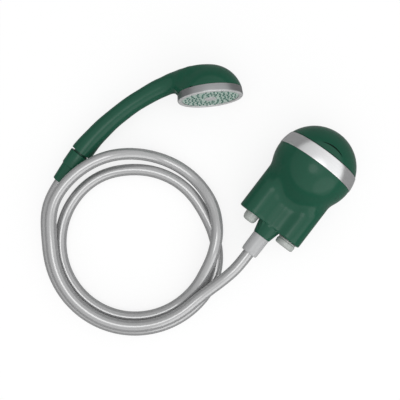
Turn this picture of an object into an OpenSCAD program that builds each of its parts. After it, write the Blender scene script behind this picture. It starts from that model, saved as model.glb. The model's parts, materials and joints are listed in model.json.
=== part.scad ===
// Rechargeable camp shower: ball headed pump, coiled hose and curved handset, lying flat

/* [Pump housing] */
// Radius of the ball at the dome end of the pump
ball_r = 40.5; // [38:0.5:46]
// Height of the pump axis over the flat back it lies on
axis_h = 24; // [23:0.5:30]
// Moulded wall of the housing
wall = 2.8; // [2:0.1:3.4]
// Radius of each battery leg
leg_r = 15.3; // [14:0.1:17]
// Distance from the pump axis to each leg axis
leg_x = 19.7; // [18.5:0.1:22]
// Radius of the outlet column level with the leg ends
column_r = 12; // [10:0.1:12.5]
// Radius of the outlet column at its tip
column_tip_r = 9; // [8.5:0.1:10]
// Length of the outlet column beyond the leg ends
column_out = 12.3; // [10:0.1:16]
// Radius of the hollow where the column meets the ball
column_fillet = 6; // [2:0.5:8]

/* [Band and intake cover] */
// Level of the lower edge of the silver band over the ball centre
band_low = 1; // [0:0.5:2]
// Width of the band along the pump axis
band_w = 13.5; // [12:0.1:16]
// Thickness of the band
band_t = 1.2; // [0.8:0.1:1.6]
// How far the band stands proud of the ball
band_proud = 0.4; // [0:0.1:0.8]
// Wall of the intake cover
cover_wall = 2.5; // [2:0.1:3]
// Number of intake slots in the back half of the tip of the cover
slot_count = 6; // [4:1:6]
// Width of each intake slot
slot_w = 2.6; // [1.5:0.1:3]
// Inner end of the slots from the pump axis
slot_in = 7; // [6.5:0.5:8]
// Outer end of the slots from the pump axis
slot_out = 16; // [12:0.5:17]
// Radius of the thumb nick in the front of the cover
nick_r = 22.6; // [20:0.1:25]
// Half the angle that the thumb nick spans
nick_half = 33; // [20:1:40]
// Width of the thumb nick at its middle
nick_w = 1.4; // [0.8:0.1:2]
// Depth of the thumb nick under the ball surface at its middle
nick_d = 1.3; // [0.8:0.1:1.8]

/* [Pump works] */
// Radius of the pump chamber
chamber_r = 20; // [18:0.1:20.4]
// Height of the pump chamber
chamber_h = 14; // [12:0.5:15]
// Radius of the impeller
impeller_r = 11.5; // [9:0.1:11.5]
// Number of impeller blades
blade_count = 6; // [4:1:9]
// Radius of the water eye over the impeller
eye_r = 5.5; // [4:0.1:7]
// Radius of the motor can
motor_r = 9.8; // [8.5:0.1:9.9]
// Length of the motor can
motor_len = 24; // [20:0.5:25]
// Radius of the motor shaft
shaft_r = 1; // [0.75:0.05:1.2]
// Outer radius of the inner outlet tube
tube_r = 3.5; // [3:0.1:3.6]
// Wall of the inner outlet tube
tube_wall = 0.8; // [0.5:0.1:1]
// Level of the bulkhead plate over the ball centre
bulk_low = 4.05; // [3.5:0.05:4.5]
// Thickness of the bulkhead plate
bulkhead_t = 3; // [2:0.1:4]
// Radius of each round battery cell
cell_r = 9.2; // [9:0.05:9.25]
// Length of each round battery cell
cell_len = 65; // [64:0.1:65.5]

/* [Button and port] */
// Radius of the power button
button_r = 7; // [6:0.1:7.4]
// Length of the button outside the leg
button_out = 8.5; // [6:0.1:10]
// Press of the button
button_travel = 1.5; // [0.8:0.1:1.6]
// Distance from the pump axis to the charge port
port_x = 22.6; // [22.2:0.1:23]
// Radius of the charge port cover
port_r = 9.9; // [9.2:0.1:10]
// Length of the charge port cover outside the leg
port_out = 7.6; // [5:0.1:9]
// Radius of the plug on the charge port cover
plug_r = 6.45; // [5.5:0.05:6.6]

/* [Hose] */
// Outer diameter of the hose
hose_d = 11.5; // [10:0.1:11.8]
// Inner diameter of the hose
hose_bore = 8; // [7:0.1:8.5]
// Radius of the grey sleeve on the pump outlet
sleeve_r = 8.5; // [8:0.1:9]
// Length of the grey sleeve
sleeve_len = 20.3; // [16:0.1:24]

/* [Handset head] */
// Radius of the bezel ring at the spray face
bezel_r = 31.5; // [29:0.1:31.6]
// How much narrower the bezel ring is at its back edge
bezel_taper = 0.5; // [0.4:0.1:1.1]
// Width of the bezel ring around the face
bezel_rim = 4.3; // [3.9:0.1:6.5]
// Height of the bezel ring
bezel_h = 7.8; // [7.8:0.1:9]
// Height of the head dome behind the bezel
dome_h = 25.5; // [24:0.1:27]
// Wall of the head dome
dome_wall = 2.6; // [2:0.1:3.2]
// Depth of the spray plate inside the bezel ring
face_sink = 1.2; // [0.8:0.1:1.6]
// Radius of each spray nozzle at its tip
nozzle_r = 0.95; // [0.7:0.05:1.1]
// Radius of each spray nozzle at its root
nozzle_root_r = 1.25; // [1.15:0.05:1.4]
// How far the nozzles stand out of the spray plate
nozzle_out = 1; // [0.8:0.1:1.5]
// Radius of the grey cap in the middle of the face
cap_r = 6; // [5:0.1:6.5]

/* [Handset handle] */
// Radius of the curve that the handle follows
handle_arc = 187; // [170:1:210]
// Angle of the handle curve from the head axis to the lower end
handle_sweep = 45.5; // [40:0.5:46]
// Depth of the handle axis behind the spray face at the head
handle_back = 23; // [22:0.1:24]
// Radius of the water channel in the handle
channel_r = 5; // [3.5:0.1:5.5]
// Radius of the lower end of the handle
tail_r = 10.8; // [9.8:0.1:10.8]
// Radius of the spigot that the nut turns onto
spigot_r = 7.2; // [6.8:0.1:7.4]
// Length of the spigot below the handle
spigot_len = 10; // [8:0.1:12]
// Width of the groove between handle and nut
nut_gap = 2; // [1:0.1:3]
// Length of the coupling nut
nut_len = 34; // [32:0.5:36]
// Radius of the coupling nut beside the handle
nut_top_r = 10.4; // [9.4:0.1:10.4]
// Radius of the coupling nut at its step
nut_step_r = 9.4; // [9:0.1:9.8]
// Radius of the coupling nut at the hose end
nut_tip_r = 7.6; // [7.2:0.1:8]
// Distance from the handle side of the nut to its step
nut_step_at = 16; // [15:0.5:20]

/* [Clearances] */
// Radial gap of a piece that runs in a bore
run_gap = 0.06; // [0.03:0.01:0.1]
// Gap between faces of pieces that move apart
face_gap = 0.35; // [0.3:0.05:0.6]
// Radial gap of a piece that seats in a hollow and stays there
seat_gap = 0.1; // [0.05:0.05:0.2]

/* [Hidden] */
$fn = 72;
green = [0.13, 0.36, 0.27];
dark_green = [0.08, 0.24, 0.17];
grey = [0.66, 0.67, 0.68];
pale = [0.85, 0.86, 0.85];
silver = [0.82, 0.83, 0.84];
satin = [0.5, 0.51, 0.52];
mint = [0.68, 0.78, 0.73];
black = [0.1, 0.1, 0.1];
steel = [0.72, 0.73, 0.75];
board_green = [0.05, 0.3, 0.12];
cell_blue = [0.2, 0.35, 0.6];
cream = [0.88, 0.85, 0.75];
big = 200;

hose_r = hose_d / 2;
barb_r = hose_bore / 2 - seat_gap / 2;
cavity_r = ball_r - wall;
leg_cavity_r = leg_r - wall;
back_in = axis_h - wall;
rim_z = band_low + band_w;
band_seat_r = ball_r + band_proud - band_t - seat_gap;
flange_t = 1.3;
plunger_h = 0.9;
switch_t = 1.8;
cell_nub = 0.6;
cell_top = bulk_low - cell_nub - 0.4;
cell_low = cell_top - cell_len;
switch_low = cell_low - seat_gap - switch_t;
plunger_tip = switch_low - plunger_h;
flange_top = plunger_tip - button_travel - face_gap;
flange_low = flange_top - flange_t;
leg_floor = flange_low - 0.3;
leg_end = wall - leg_floor;
column_end = leg_end + column_out;
bulk_top = bulk_low + bulkhead_t;
screw_r = 1.25;
screw_head_r = 1.85;
screw_head_h = 1.6;
screw_room = 5.2;
ledge_r = sqrt(pow(cavity_r, 2) - pow(bulk_top + screw_head_h, 2)) - screw_room;
screw_ring_r = ledge_r + screw_room / 2;
cell_room = 0.6;
ledge_h = 7;
chamber_top = bulk_top + chamber_h;
chamber_floor = bulk_top + 2.5;
chamber_in_r = chamber_r - 2.5;
impeller_gap = 1.2;
impeller_plate = 1.5;
hub_r = 3;
hub_h = 6;
blade_h = 7;
blade_t = 1.2;
eye_plate_t = 2.5;
strainer_t = 2.2;
strainer_low = chamber_top + eye_plate_t;
ring_in_r = chamber_r + 0.6;
ring_out_r = ring_in_r + 2;
ring_low = rim_z + face_gap;
o_ring_t = 0.9;
o_ring_at = ring_low + 1.5;
o_ring_mid = ring_in_r - run_gap - o_ring_t + 0.05;
tube_y = (impeller_r + chamber_in_r) / 2;
motor_low = bulk_low - motor_len;
motor_cap_t = 2.5;
bend_from = motor_low - motor_cap_t;
bend_a = 60;
bend_r = tube_y / 2 / (1 - cos(bend_a));
bend_len = 2 * bend_r * sin(bend_a);
spigot_seat = leg_floor + 2.2;
spigot_flange_t = 3;
spigot_collar = 6;
column_in_r = column_r - 2.6;
stem_r = barb_r + 0.6;
cover_gap = face_gap;
cover_low = rim_z + cover_gap;
cover_in_r = ball_r - cover_wall;
screw_angles = [-125, -55, 18, 162];
eye_screw_ring = chamber_r - 1.25;
eye_screw_r = 0.8;
eye_screw_len = 3.2;
eye_screw_angles = [30, 150, 270];
post_x = 9;
board_t = 1.6;
board_face = motor_r + 3.2;
board_top = bulk_low - 2;
board_len = 27;
board_half = 12.5;
sleeve_low = cell_low + 1;
sleeve_top = motor_low - motor_cap_t - 5;

// Handset head levels, measured from the spray face
plate_t = 1.8;
plate_top = -face_sink;
mat_t = 2;
mat_top = plate_top - plate_t - 0.05;
spread_t = 1.5;
spread_top = mat_top - mat_t - 0.05;
bezel_back_r = bezel_r - bezel_taper;
face_r = bezel_r - bezel_rim;
bezel_in_r = bezel_back_r - 1.6;
collar_top = plate_top - plate_t;
dome_r = (bezel_back_r * bezel_back_r + dome_h * dome_h) / (2 * dome_h);
dome_mid = dome_r - dome_h - bezel_h;
dome_in_r = dome_r - dome_wall;
collar_in_r = face_r - 0.6;
shoulder_top = spread_top - spread_t;
shoulder_h = 3.4;
shoulder_r = collar_in_r - 3.1;
face_ring_mid = collar_in_r - 1.2;
face_ring_t = 1;
nozzle_rings = [[8, 0.3825 * face_r], [13, 0.581 * face_r], [18, 0.772 * face_r]];

// Half height, half width and lift of the handle section off its curve, against the share of the curve
handle_rows = [[0, 7.6, 17, -3], [0.09, 8.6, 16.5, -2.6], [0.15, 9, 14, -2], [0.22, 9.7, 11, -0.8],
    [0.31, 9.3, 9.4, -0.4], [0.48, 8.8, 8.9, 0], [0.66, 9, 9, 0], [0.84, 9.7, 9.7, 0],
    [1, tail_r, tail_r, 0]];
handle_cuts = 24;
dome_cuts = 9;
head_sides = 40;

// Place of the spray face in the lying set
head_at = [-118.5, -9.2, 31.7];
head_turn = -46.4;
head_tip = 5.6;
head_roll = -79.6;

// Coil route: turn angle, radius and height of the hose axis around the coil middle
coil_mid = [-94, -164];
coil_route = [[186, 95, 8], [220, 86.3, 6], [310, 87, 6], [365, 87, 6], [430, 74, 6], [490, 72.5, 6],
    [520, 74.2, 6], [580, 74, 6], [670, 74.6, 6], [706, 74.8, 6], [734, 75, 15.6], [752, 78.6, 19.8],
    [764, 82.5, 19.2], [784, 86, 13], [806, 86.7, 6], [824, 87, 6], [868, 88.2, 22], [905, 87.8, 22],
    [940, 80, 17.6], [1030, 81.5, 17.6], [1072, 82, 18.6]];
coil_step = 15;
lead_rings = 12;

function turn_z(a, v) = [v[0] * cos(a) - v[1] * sin(a), v[0] * sin(a) + v[1] * cos(a), v[2]];
function turn_y(a, v) = [v[0] * cos(a) + v[2] * sin(a), v[1], -v[0] * sin(a) + v[2] * cos(a)];
function head_dir(v) = turn_z(head_turn, turn_y(90 - head_tip, turn_z(head_roll, v)));
function head_to_row(v) = head_at + head_dir(v);
function handle_point(a) = [handle_arc * sin(a), 0, -handle_back + handle_arc * (1 - cos(a))];
function tail_point(w) = handle_point(handle_sweep) + w * [cos(handle_sweep), 0, sin(handle_sweep)];
function smooth(t) = t * t * (3 - 2 * t);
function blend(rows, x, col, i = 0) =
    x <= rows[0][0] ? rows[0][col] :
    i >= len(rows) - 1 ? rows[len(rows) - 1][col] :
    x <= rows[i + 1][0]
        ? rows[i][col] + (rows[i + 1][col] - rows[i][col])
            * smooth((x - rows[i][0]) / (rows[i + 1][0] - rows[i][0]))
        : blend(rows, x, col, i + 1);
function coil_point(a) = [
    coil_mid[0] + blend(coil_route, a, 1) * cos(a),
    coil_mid[1] + blend(coil_route, a, 1) * sin(a),
    blend(coil_route, a, 2)];
function unit(v) = v / norm(v);
function path_dir(p, i) =
    i == 0 ? unit(p[1] - p[0]) :
    i == len(p) - 1 ? unit(p[i] - p[i - 1]) : unit(unit(p[i + 1] - p[i]) + unit(p[i] - p[i - 1]));

nut_low = nut_gap + nut_len;
hose_in = spigot_len + 4.2;
nut_end_row = head_to_row(tail_point(nut_low));
nut_dir_row = head_dir([cos(handle_sweep), 0, sin(handle_sweep)]);
hose_first = head_to_row(tail_point(hose_in));
hose_straight = nut_end_row + hose_d * nut_dir_row;
coil_first = coil_route[0][0] + 4;
coil_last = coil_route[len(coil_route) - 1][0];
coil_count = ceil((coil_last - coil_first) / coil_step);
coil_path = concat(
    [hose_first, nut_end_row, hose_straight],
    [for (i = [0:coil_count]) coil_point(coil_first + (coil_last - coil_first) * i / coil_count)]);
lead_from = coil_path[len(coil_path) - 1];
lead_dir = path_dir(coil_path, len(coil_path) - 1);
sleeve_floor = 1.5;
lead_end = [0, -column_end - sleeve_floor - 0.1, axis_h];
lead_out = [0, -column_end - sleeve_len - hose_d, axis_h];
lead_pull = 0.9 * norm(lead_out - lead_from);
function lead_point(t) =
    (2 * pow(t, 3) - 3 * pow(t, 2) + 1) * lead_from + (pow(t, 3) - 2 * pow(t, 2) + t) * lead_pull * lead_dir
    + (3 * pow(t, 2) - 2 * pow(t, 3)) * lead_out + (pow(t, 3) - pow(t, 2)) * lead_pull * [0, 1, 0];
lead_path = concat([for (i = [0:lead_rings]) lead_point(i / lead_rings)], [lead_end]);

// Route of the inner tube beside the motor and back to the pump axis
tube_cuts = 6;
tube_clear = 0.4;
tube_path = concat(
    [[0, chamber_floor, axis_h + tube_y]],
    [for (i = [0:tube_cuts]) let (a = bend_a * i / tube_cuts)
        [0, bend_from - bend_r * sin(a), axis_h + tube_y - bend_r * (1 - cos(a))]],
    [for (i = [1:tube_cuts]) let (a = bend_a * (1 - i / tube_cuts))
        [0, bend_from - bend_len + bend_r * sin(a), axis_h + bend_r * (1 - cos(a))]],
    [[0, spigot_seat + spigot_flange_t, axis_h]]);

function path_len(p, i = 0) = i >= len(p) - 1 ? 0 : norm(p[i + 1] - p[i]) + path_len(p, i + 1);
function apart(p, n) = min([for (i = [0:len(p) - 1], j = [i + n:1:len(p) - 1]) norm(p[i] - p[j])]);
fine_path = [for (a = [coil_first:2:coil_last]) coil_point(a)];
early_path = [for (i = [0:len(fine_path) - 40]) fine_path[i]];
echo(hose_length_mm = path_len(coil_path) + path_len(lead_path));
echo(coil_self_gap_mm = apart(fine_path, 60) - hose_d);
echo(lead_gap_mm = min([for (q = lead_path, p = early_path) norm(p - q)]) - hose_d);

// Piece to draw, or all of them

module pump_frame() {
    translate([0, 0, axis_h]) rotate([-90, 0, 0]) children();
}

module head_frame() {
    translate(head_at) rotate([0, 0, head_turn]) rotate([0, 90 - head_tip, 0]) rotate([0, 0, head_roll])
        children();
}

module tail_frame() {
    head_frame() translate(handle_point(handle_sweep)) rotate([0, 90 - handle_sweep, 0]) children();
}

// Everything on the front side of a flat back at the given distance behind the axis
module front_of(back) {
    translate([-big / 2, back - big, -big / 2]) cube(big);
}

module above(z) {
    translate([-big / 2, -big / 2, z]) cube(big);
}

module below(z) {
    translate([-big / 2, -big / 2, z - big]) cube(big);
}

// Closed skin over a row of rings that each turn the same way
module lofted(rings) {
    sides = len(rings[0]);
    ends = len(rings) - 1;
    walls = [for (i = [0:ends - 1], k = [0:sides - 1])
        let (a = i * sides + k, b = i * sides + (k + 1) % sides)
        each [[a, b, b + sides], [a, b + sides, a + sides]]];
    first = [for (k = [1:sides - 2]) [0, k + 1, k]];
    last = [for (k = [1:sides - 2]) [ends * sides, ends * sides + k, ends * sides + k + 1]];
    polyhedron([for (ring = rings) each ring], concat(walls, first, last), convexity = 10);
}

// Closed tube around a path, with the given number of sides
module swept(path, r, sides) {
    lofted([for (i = [0:len(path) - 1])
        let (d = path_dir(path, i), u = unit(cross(d, [0, 0, 1])), v = cross(u, d))
        [for (k = [0:sides - 1]) path[i] + r * (cos(360 * k / sides) * u + sin(360 * k / sides) * v)]]);
}

module legs(r, low, high) {
    for (x = [-leg_x, leg_x])
        translate([x, 0, low]) cylinder(r = r, h = high - low);
}

// Ring section of the hollow between the column and the ball
module column_root() {
    from = -sqrt(pow(ball_r + column_fillet, 2) - pow(column_r + column_fillet, 2));
    rotate_extrude() difference() {
        translate([0, from]) square([column_r + column_fillet, column_fillet]);
        translate([column_r + column_fillet, from]) circle(column_fillet);
    }
}

module housing_outside() {
    sphere(ball_r);
    legs(leg_r, -leg_end, -10);
    translate([0, 0, -leg_end]) cylinder(r = column_r, h = leg_end - 10);
    translate([0, 0, -column_end]) cylinder(r1 = column_tip_r, r2 = column_r, h = column_end - leg_end);
    column_root();
}

module housing_hollow() {
    intersection() {
        union() {
            sphere(cavity_r);
            legs(leg_cavity_r, leg_floor, -10);
            translate([0, 0, spigot_seat]) cylinder(r = column_in_r, h = -spigot_seat - 10);
        }
        front_of(back_in);
    }
}

module screw_spots(ring, angles) {
    for (a = angles)
        rotate([0, 0, a]) translate([ring, 0, 0]) children();
}

module pump_housing() {
    color(green) difference() {
        pump_frame() housing_body();
        swept(tube_path, tube_r + tube_clear, 20);
    }
}

module housing_body() {
    difference() {
        union() {
            difference() {
                housing_outside();
                housing_hollow();
                above(rim_z);
                difference() {
                    above(band_low);
                    sphere(band_seat_r);
                }
            }
            intersection() {
                difference() {
                    translate([0, 0, bulk_low - ledge_h]) cylinder(r = cavity_r + wall / 4, h = ledge_h);
                    translate([0, 0, bulk_low - ledge_h - 1]) cylinder(r = ledge_r, h = ledge_h + 2);
                    legs(cell_r + cell_room, bulk_low - ledge_h - 1, bulk_low + 1);
                }
                sphere(cavity_r + wall / 4);
            }
            for (x = [-post_x, post_x], z = [board_top - 4, board_top - board_len + 4])
                translate([x, board_face + board_t, z]) rotate([-90, 0, 0])
                    cylinder(r = 2, h = back_in - board_face - board_t + wall / 2);
        }
        difference() {
            translate([0, 0, -big]) cylinder(r = big, h = 2 * big);
            front_of(axis_h);
        }
        screw_spots(screw_ring_r, screw_angles)
            translate([0, 0, bulk_low - ledge_h + 1]) cylinder(r = screw_r - 0.05, h = ledge_h);
        translate([-leg_x, 0, -leg_end - 1]) cylinder(r = button_r + run_gap, h = wall + 2);
        translate([port_x, 0, -leg_end - 1]) cylinder(r = plug_r + run_gap, h = wall + 2);
        translate([0, 0, -column_end - 1]) cylinder(r = stem_r + seat_gap / 2, h = column_end);
    }
}

module trim_band() {
    color(silver) pump_frame() intersection() {
        difference() {
            sphere(ball_r + band_proud);
            sphere(ball_r + band_proud - band_t);
        }
        translate([0, 0, band_low + seat_gap]) cylinder(r = big, h = band_w - 2 * seat_gap);
        front_of(axis_h);
    }
}

// Crescent cut by the thumb nick, seen from the front
module nick_shape() {
    chord_x = nick_r * sin(nick_half);
    rise = nick_r - nick_w - nick_r * cos(nick_half);
    inner_r = (chord_x * chord_x + rise * rise) / (2 * rise);
    difference() {
        circle(nick_r);
        translate([0, nick_r - nick_w - inner_r]) circle(inner_r);
        translate([-big / 2, -big]) square(big);
    }
}

module intake_cover() {
    color(green) pump_frame() difference() {
        intersection() {
            union() {
                difference() {
                    sphere(ball_r);
                    intersection() {
                        sphere(cover_in_r);
                        front_of(axis_h - cover_wall);
                    }
                    below(cover_low);
                }
                intersection() {
                    difference() {
                        translate([0, 0, ring_low]) cylinder(r = ring_out_r, h = ball_r);
                        translate([0, 0, ring_low - 1]) cylinder(r = ring_in_r, h = ball_r + 2);
                    }
                    sphere(cover_in_r + cover_wall / 4);
                    front_of(axis_h - cover_wall / 2);
                }
            }
            front_of(axis_h);
        }
        for (i = [0:slot_count - 1])
            rotate([0, 0, (i + 0.5) * 180 / slot_count]) intake_slot();
        translate([0, -sqrt(ball_r * ball_r - nick_r * nick_r) + nick_d, 0]) rotate([90, 0, 0])
            linear_extrude(ball_r) nick_shape();
    }
}

module intake_slot() {
    translate([slot_in, -slot_w / 2, cover_in_r - cover_wall * 4])
        cube([slot_out - slot_in, slot_w, cover_wall * 6]);
    for (x = [slot_in, slot_out])
        translate([x, 0, cover_in_r - cover_wall * 4]) cylinder(d = slot_w, h = cover_wall * 6);
}

module strainer() {
    color(pale) pump_frame() difference() {
        union() {
            translate([0, 0, strainer_low]) cylinder(r = chamber_r - 1, h = strainer_t);
            translate([0, 0, strainer_low]) cylinder(r = 3, h = strainer_t + 3);
        }
        for (ring = [[10, 6], [16, 9.5], [22, 13], [28, 16.5]], i = [0:ring[0] - 1])
            rotate([0, 0, i * 360 / ring[0]]) translate([ring[1], 0, strainer_low - 1])
                cylinder(r = 0.9, h = strainer_t + 2);
        difference() {
            translate([0, 0, strainer_low - 1]) cylinder(r = chamber_r - 4, h = 2);
            cylinder(r = 3, h = big);
        }
    }
}

module eye_plate() {
    color(cream) pump_frame() difference() {
        translate([0, 0, chamber_top]) cylinder(r = chamber_r, h = eye_plate_t);
        translate([0, 0, chamber_top - 1]) cylinder(r = eye_r, h = eye_plate_t + 2);
        screw_spots(eye_screw_ring, eye_screw_angles)
            translate([0, 0, chamber_top - 1]) cylinder(r = eye_screw_r, h = eye_plate_t + 2);
    }
}

module eye_screws() {
    color(steel) pump_frame() screw_spots(eye_screw_ring, eye_screw_angles)
        translate([0, 0, chamber_top - eye_screw_len])
            cylinder(r = eye_screw_r - 0.05, h = eye_screw_len + eye_plate_t);
}

module pump_chamber() {
    color(cream) pump_frame() difference() {
        translate([0, 0, bulk_top]) cylinder(r = chamber_r, h = chamber_h);
        translate([0, 0, chamber_floor]) cylinder(r = chamber_in_r, h = chamber_h);
        translate([0, 0, bulk_top - 1]) cylinder(r = 4, h = chamber_h);
        translate([0, -tube_y, bulk_top - 1]) cylinder(r = tube_r + seat_gap / 2, h = chamber_h);
        translate([0, 0, o_ring_at]) rotate_extrude() translate([o_ring_mid, 0]) circle(o_ring_t);
        screw_spots(eye_screw_ring, eye_screw_angles)
            translate([0, 0, chamber_top - eye_screw_len]) cylinder(r = eye_screw_r, h = eye_screw_len + 1);
    }
}

module cover_o_ring() {
    color(black) pump_frame() translate([0, 0, o_ring_at]) rotate_extrude()
        translate([o_ring_mid, 0]) circle(o_ring_t - 0.05);
}

module impeller() {
    base = chamber_floor + impeller_gap;
    color(cream) pump_frame() difference() {
        union() {
            translate([0, 0, base]) cylinder(r = impeller_r, h = impeller_plate);
            translate([0, 0, base]) cylinder(r = hub_r, h = hub_h);
            for (i = [0:blade_count - 1])
                rotate([0, 0, i * 360 / blade_count]) translate([0.8 * hub_r, -blade_t / 2, base])
                    cube([impeller_r - hub_r, blade_t, blade_h]);
        }
        translate([0, 0, base - 1]) cylinder(r = shaft_r, h = blade_h + 2);
    }
}

module motor_shaft() {
    color(steel) pump_frame() translate([0, 0, motor_low - 1])
        cylinder(r = shaft_r, h = chamber_floor + blade_h - motor_low);
}

module shaft_seal() {
    color(black) pump_frame() difference() {
        translate([0, 0, bulk_top]) cylinder(r = 4 - seat_gap / 2, h = chamber_floor - bulk_top);
        translate([0, 0, bulk_top - 1]) cylinder(r = shaft_r + run_gap, h = 6);
    }
}

module motor_can() {
    color(steel) pump_frame() difference() {
        translate([0, 0, motor_low]) cylinder(r = motor_r, h = motor_len);
        translate([0, 0, motor_low - 1]) cylinder(r = shaft_r + run_gap, h = motor_len + 2);
    }
}

module motor_end_cap() {
    color(black) pump_frame() difference() {
        translate([0, 0, motor_low - motor_cap_t]) cylinder(r = motor_r, h = motor_cap_t);
        translate([0, 0, motor_low - 1.5]) cylinder(r = shaft_r + 0.4, h = 3);
    }
}

module bulkhead() {
    color(cream) pump_frame() difference() {
        intersection() {
            sphere(cavity_r - seat_gap);
            translate([0, 0, bulk_low]) cylinder(r = big, h = bulkhead_t);
            front_of(back_in - seat_gap);
        }
        translate([0, 0, bulk_low - 1]) cylinder(r = shaft_r + 0.6, h = bulkhead_t + 2);
        translate([0, -tube_y, bulk_low - 1]) cylinder(r = tube_r + seat_gap / 2, h = bulkhead_t + 2);
        screw_spots(screw_ring_r, screw_angles)
            translate([0, 0, bulk_low - 1]) cylinder(r = screw_r + 0.05, h = bulkhead_t + 2);
    }
}

module bulkhead_screws() {
    color(steel) pump_frame() screw_spots(screw_ring_r, screw_angles) {
        translate([0, 0, bulk_low - ledge_h + 1.5])
            cylinder(r = screw_r - 0.05, h = ledge_h - 1.5 + bulkhead_t);
        translate([0, 0, bulk_top]) cylinder(r = screw_head_r, h = screw_head_h);
    }
}

module outlet_tube() {
    ends = len(tube_path) - 1;
    long = concat([tube_path[0] + [0, 1, 0]], tube_path, [tube_path[ends] - [0, 1, 0]]);
    color(cream) difference() {
        swept(tube_path, tube_r, 20);
        swept(long, tube_r - tube_wall, 20);
    }
}

module outlet_spigot() {
    tip = -column_end - sleeve_len + 2;
    color(cream) pump_frame() difference() {
        union() {
            translate([0, 0, spigot_seat]) cylinder(r = column_in_r - 2.4, h = spigot_flange_t);
            translate([0, 0, spigot_seat]) cylinder(r = tube_r + 2, h = spigot_flange_t + spigot_collar);
            translate([0, 0, -column_end]) cylinder(r = stem_r, h = spigot_seat + column_end);
            translate([0, 0, tip]) cylinder(r = barb_r, h = -tip - column_end);
        }
        translate([0, 0, tip - 1]) cylinder(r = tube_r - tube_wall, h = big);
        translate([0, 0, spigot_seat + spigot_flange_t]) cylinder(r = tube_r + seat_gap / 2, h = big);
    }
}

module hose_sleeve() {
    edge = 1.2;
    color(grey) pump_frame() translate([0, 0, -column_end - sleeve_len]) rotate_extrude() polygon([
        [hose_r + seat_gap, 0], [sleeve_r - edge, 0], [sleeve_r, edge], [sleeve_r + 0.2, sleeve_len],
        [barb_r + seat_gap, sleeve_len], [barb_r + seat_gap, sleeve_len - sleeve_floor],
        [hose_r + seat_gap, sleeve_len - sleeve_floor]]);
}

module battery_cell(x) {
    color(cell_blue) pump_frame() translate([x, 0, 0]) {
        translate([0, 0, cell_low]) cylinder(r = cell_r, h = cell_len);
        translate([0, 0, cell_top]) cylinder(r = 3, h = cell_nub);
    }
}

module battery_cell_left() {
    battery_cell(-leg_x);
}

module battery_cell_right() {
    battery_cell(leg_x);
}

module cell_sleeves() {
    color(black) pump_frame() difference() {
        legs(leg_cavity_r - seat_gap, sleeve_low, sleeve_top);
        legs(cell_r + seat_gap, sleeve_low - 1, sleeve_top + 1);
        translate([0, 0, -big / 2]) cylinder(r = column_in_r + 0.5, h = big);
    }
}

module circuit_board() {
    color(board_green) pump_frame() {
        translate([-board_half, board_face, board_top - board_len])
            cube([2 * board_half, board_t, board_len]);
        translate([-4, board_face - 1.4, board_top - 14]) cube([8, 1.4, 8]);
        for (x = [-9, 7])
            translate([x, board_face - 1, board_top - 22]) cube([2.5, 1, 5]);
    }
}

module power_switch() {
    color(black) pump_frame() translate([-leg_x, 0, 0]) {
        translate([0, 0, switch_low]) cylinder(r = leg_cavity_r - seat_gap, h = switch_t);
        translate([0, 0, plunger_tip]) cylinder(r = 1.8, h = plunger_h);
    }
}

module power_button() {
    edge = 4;
    out = -leg_end - button_out;
    color(pale) pump_frame() translate([-leg_x, 0, 0]) rotate_extrude() {
        translate([0, out + edge]) square([button_r, flange_low - out - edge]);
        translate([0, out]) square([button_r - edge, edge]);
        intersection() {
            translate([button_r - edge, out + edge]) circle(edge);
            translate([0, out]) square([button_r, edge]);
        }
        translate([0, flange_low]) square([button_r + 1.8, flange_t]);
    }
}

module charge_socket() {
    floor_z = leg_floor + 2.4;
    color(black) pump_frame() translate([port_x, 0, 0]) difference() {
        translate([0, 0, leg_floor])
            cylinder(r = leg_cavity_r - seat_gap - port_x + leg_x, h = cell_low - leg_floor - seat_gap);
        translate([0, 0, leg_floor - 1]) cylinder(r = plug_r + 0.2, h = floor_z - leg_floor + 1);
        translate([-4.5, -1.6, floor_z - 1]) cube([9, 3.2, 3.2]);
    }
}

module charge_cover() {
    top = -leg_end - face_gap;
    low = -leg_end - port_out;
    edge = 1.2;
    color(pale) pump_frame() translate([port_x, 0, 0]) rotate_extrude() polygon([
        [0, low], [port_r - edge, low], [port_r, low + edge], [port_r, top - 1.7], [port_r - 0.6, top - 1.4],
        [port_r - 0.6, top - 0.8], [port_r - 0.1, top - 0.5], [port_r - 0.1, top], [plug_r, top],
        [plug_r, leg_floor + 1], [plug_r - 0.8, leg_floor + 1.6], [0, leg_floor + 1.6]]);
}

module hose_lead() {
    color(grey) difference() {
        swept(lead_path, hose_r, 16);
        translate([0, -column_end - sleeve_len + 1.5, axis_h]) rotate([-90, 0, 0])
            cylinder(r = hose_bore / 2, h = sleeve_len);
    }
}

module hose_coil() {
    color(grey) difference() {
        swept(coil_path, hose_r, 8);
        tail_frame() translate([0, 0, hose_in - 1]) cylinder(r = hose_bore / 2, h = 20);
    }
}

module coupling_nut() {
    bore = spigot_r + run_gap;
    shoulder = spigot_len + 4;
    step_at = nut_gap + nut_step_at;
    color(green) tail_frame() rotate_extrude() polygon([
        [bore, nut_gap], [nut_top_r - 0.6, nut_gap], [nut_top_r, nut_gap + 0.6],
        [nut_step_r + 0.3, step_at - 0.5], [nut_step_r - 0.4, step_at],
        [nut_tip_r, nut_low - 0.8], [nut_tip_r - 0.8, nut_low],
        [hose_r + 0.25, nut_low], [hose_r + 0.25, shoulder], [bore, shoulder]]);
}

module hose_tail() {
    color(steel) tail_frame() difference() {
        union() {
            translate([0, 0, spigot_len + 2]) cylinder(r = spigot_r - 0.2, h = 2 - face_gap);
            translate([0, 0, spigot_len + 2]) cylinder(r = barb_r, h = 18);
        }
        translate([0, 0, spigot_len]) cylinder(r = barb_r - 1.2, h = 30);
    }
}

module nut_washer() {
    color(black) tail_frame() difference() {
        translate([0, 0, spigot_len]) cylinder(r = spigot_r - 0.2, h = 2);
        translate([0, 0, spigot_len - 1]) cylinder(r = barb_r - 1, h = 4);
    }
}

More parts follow.
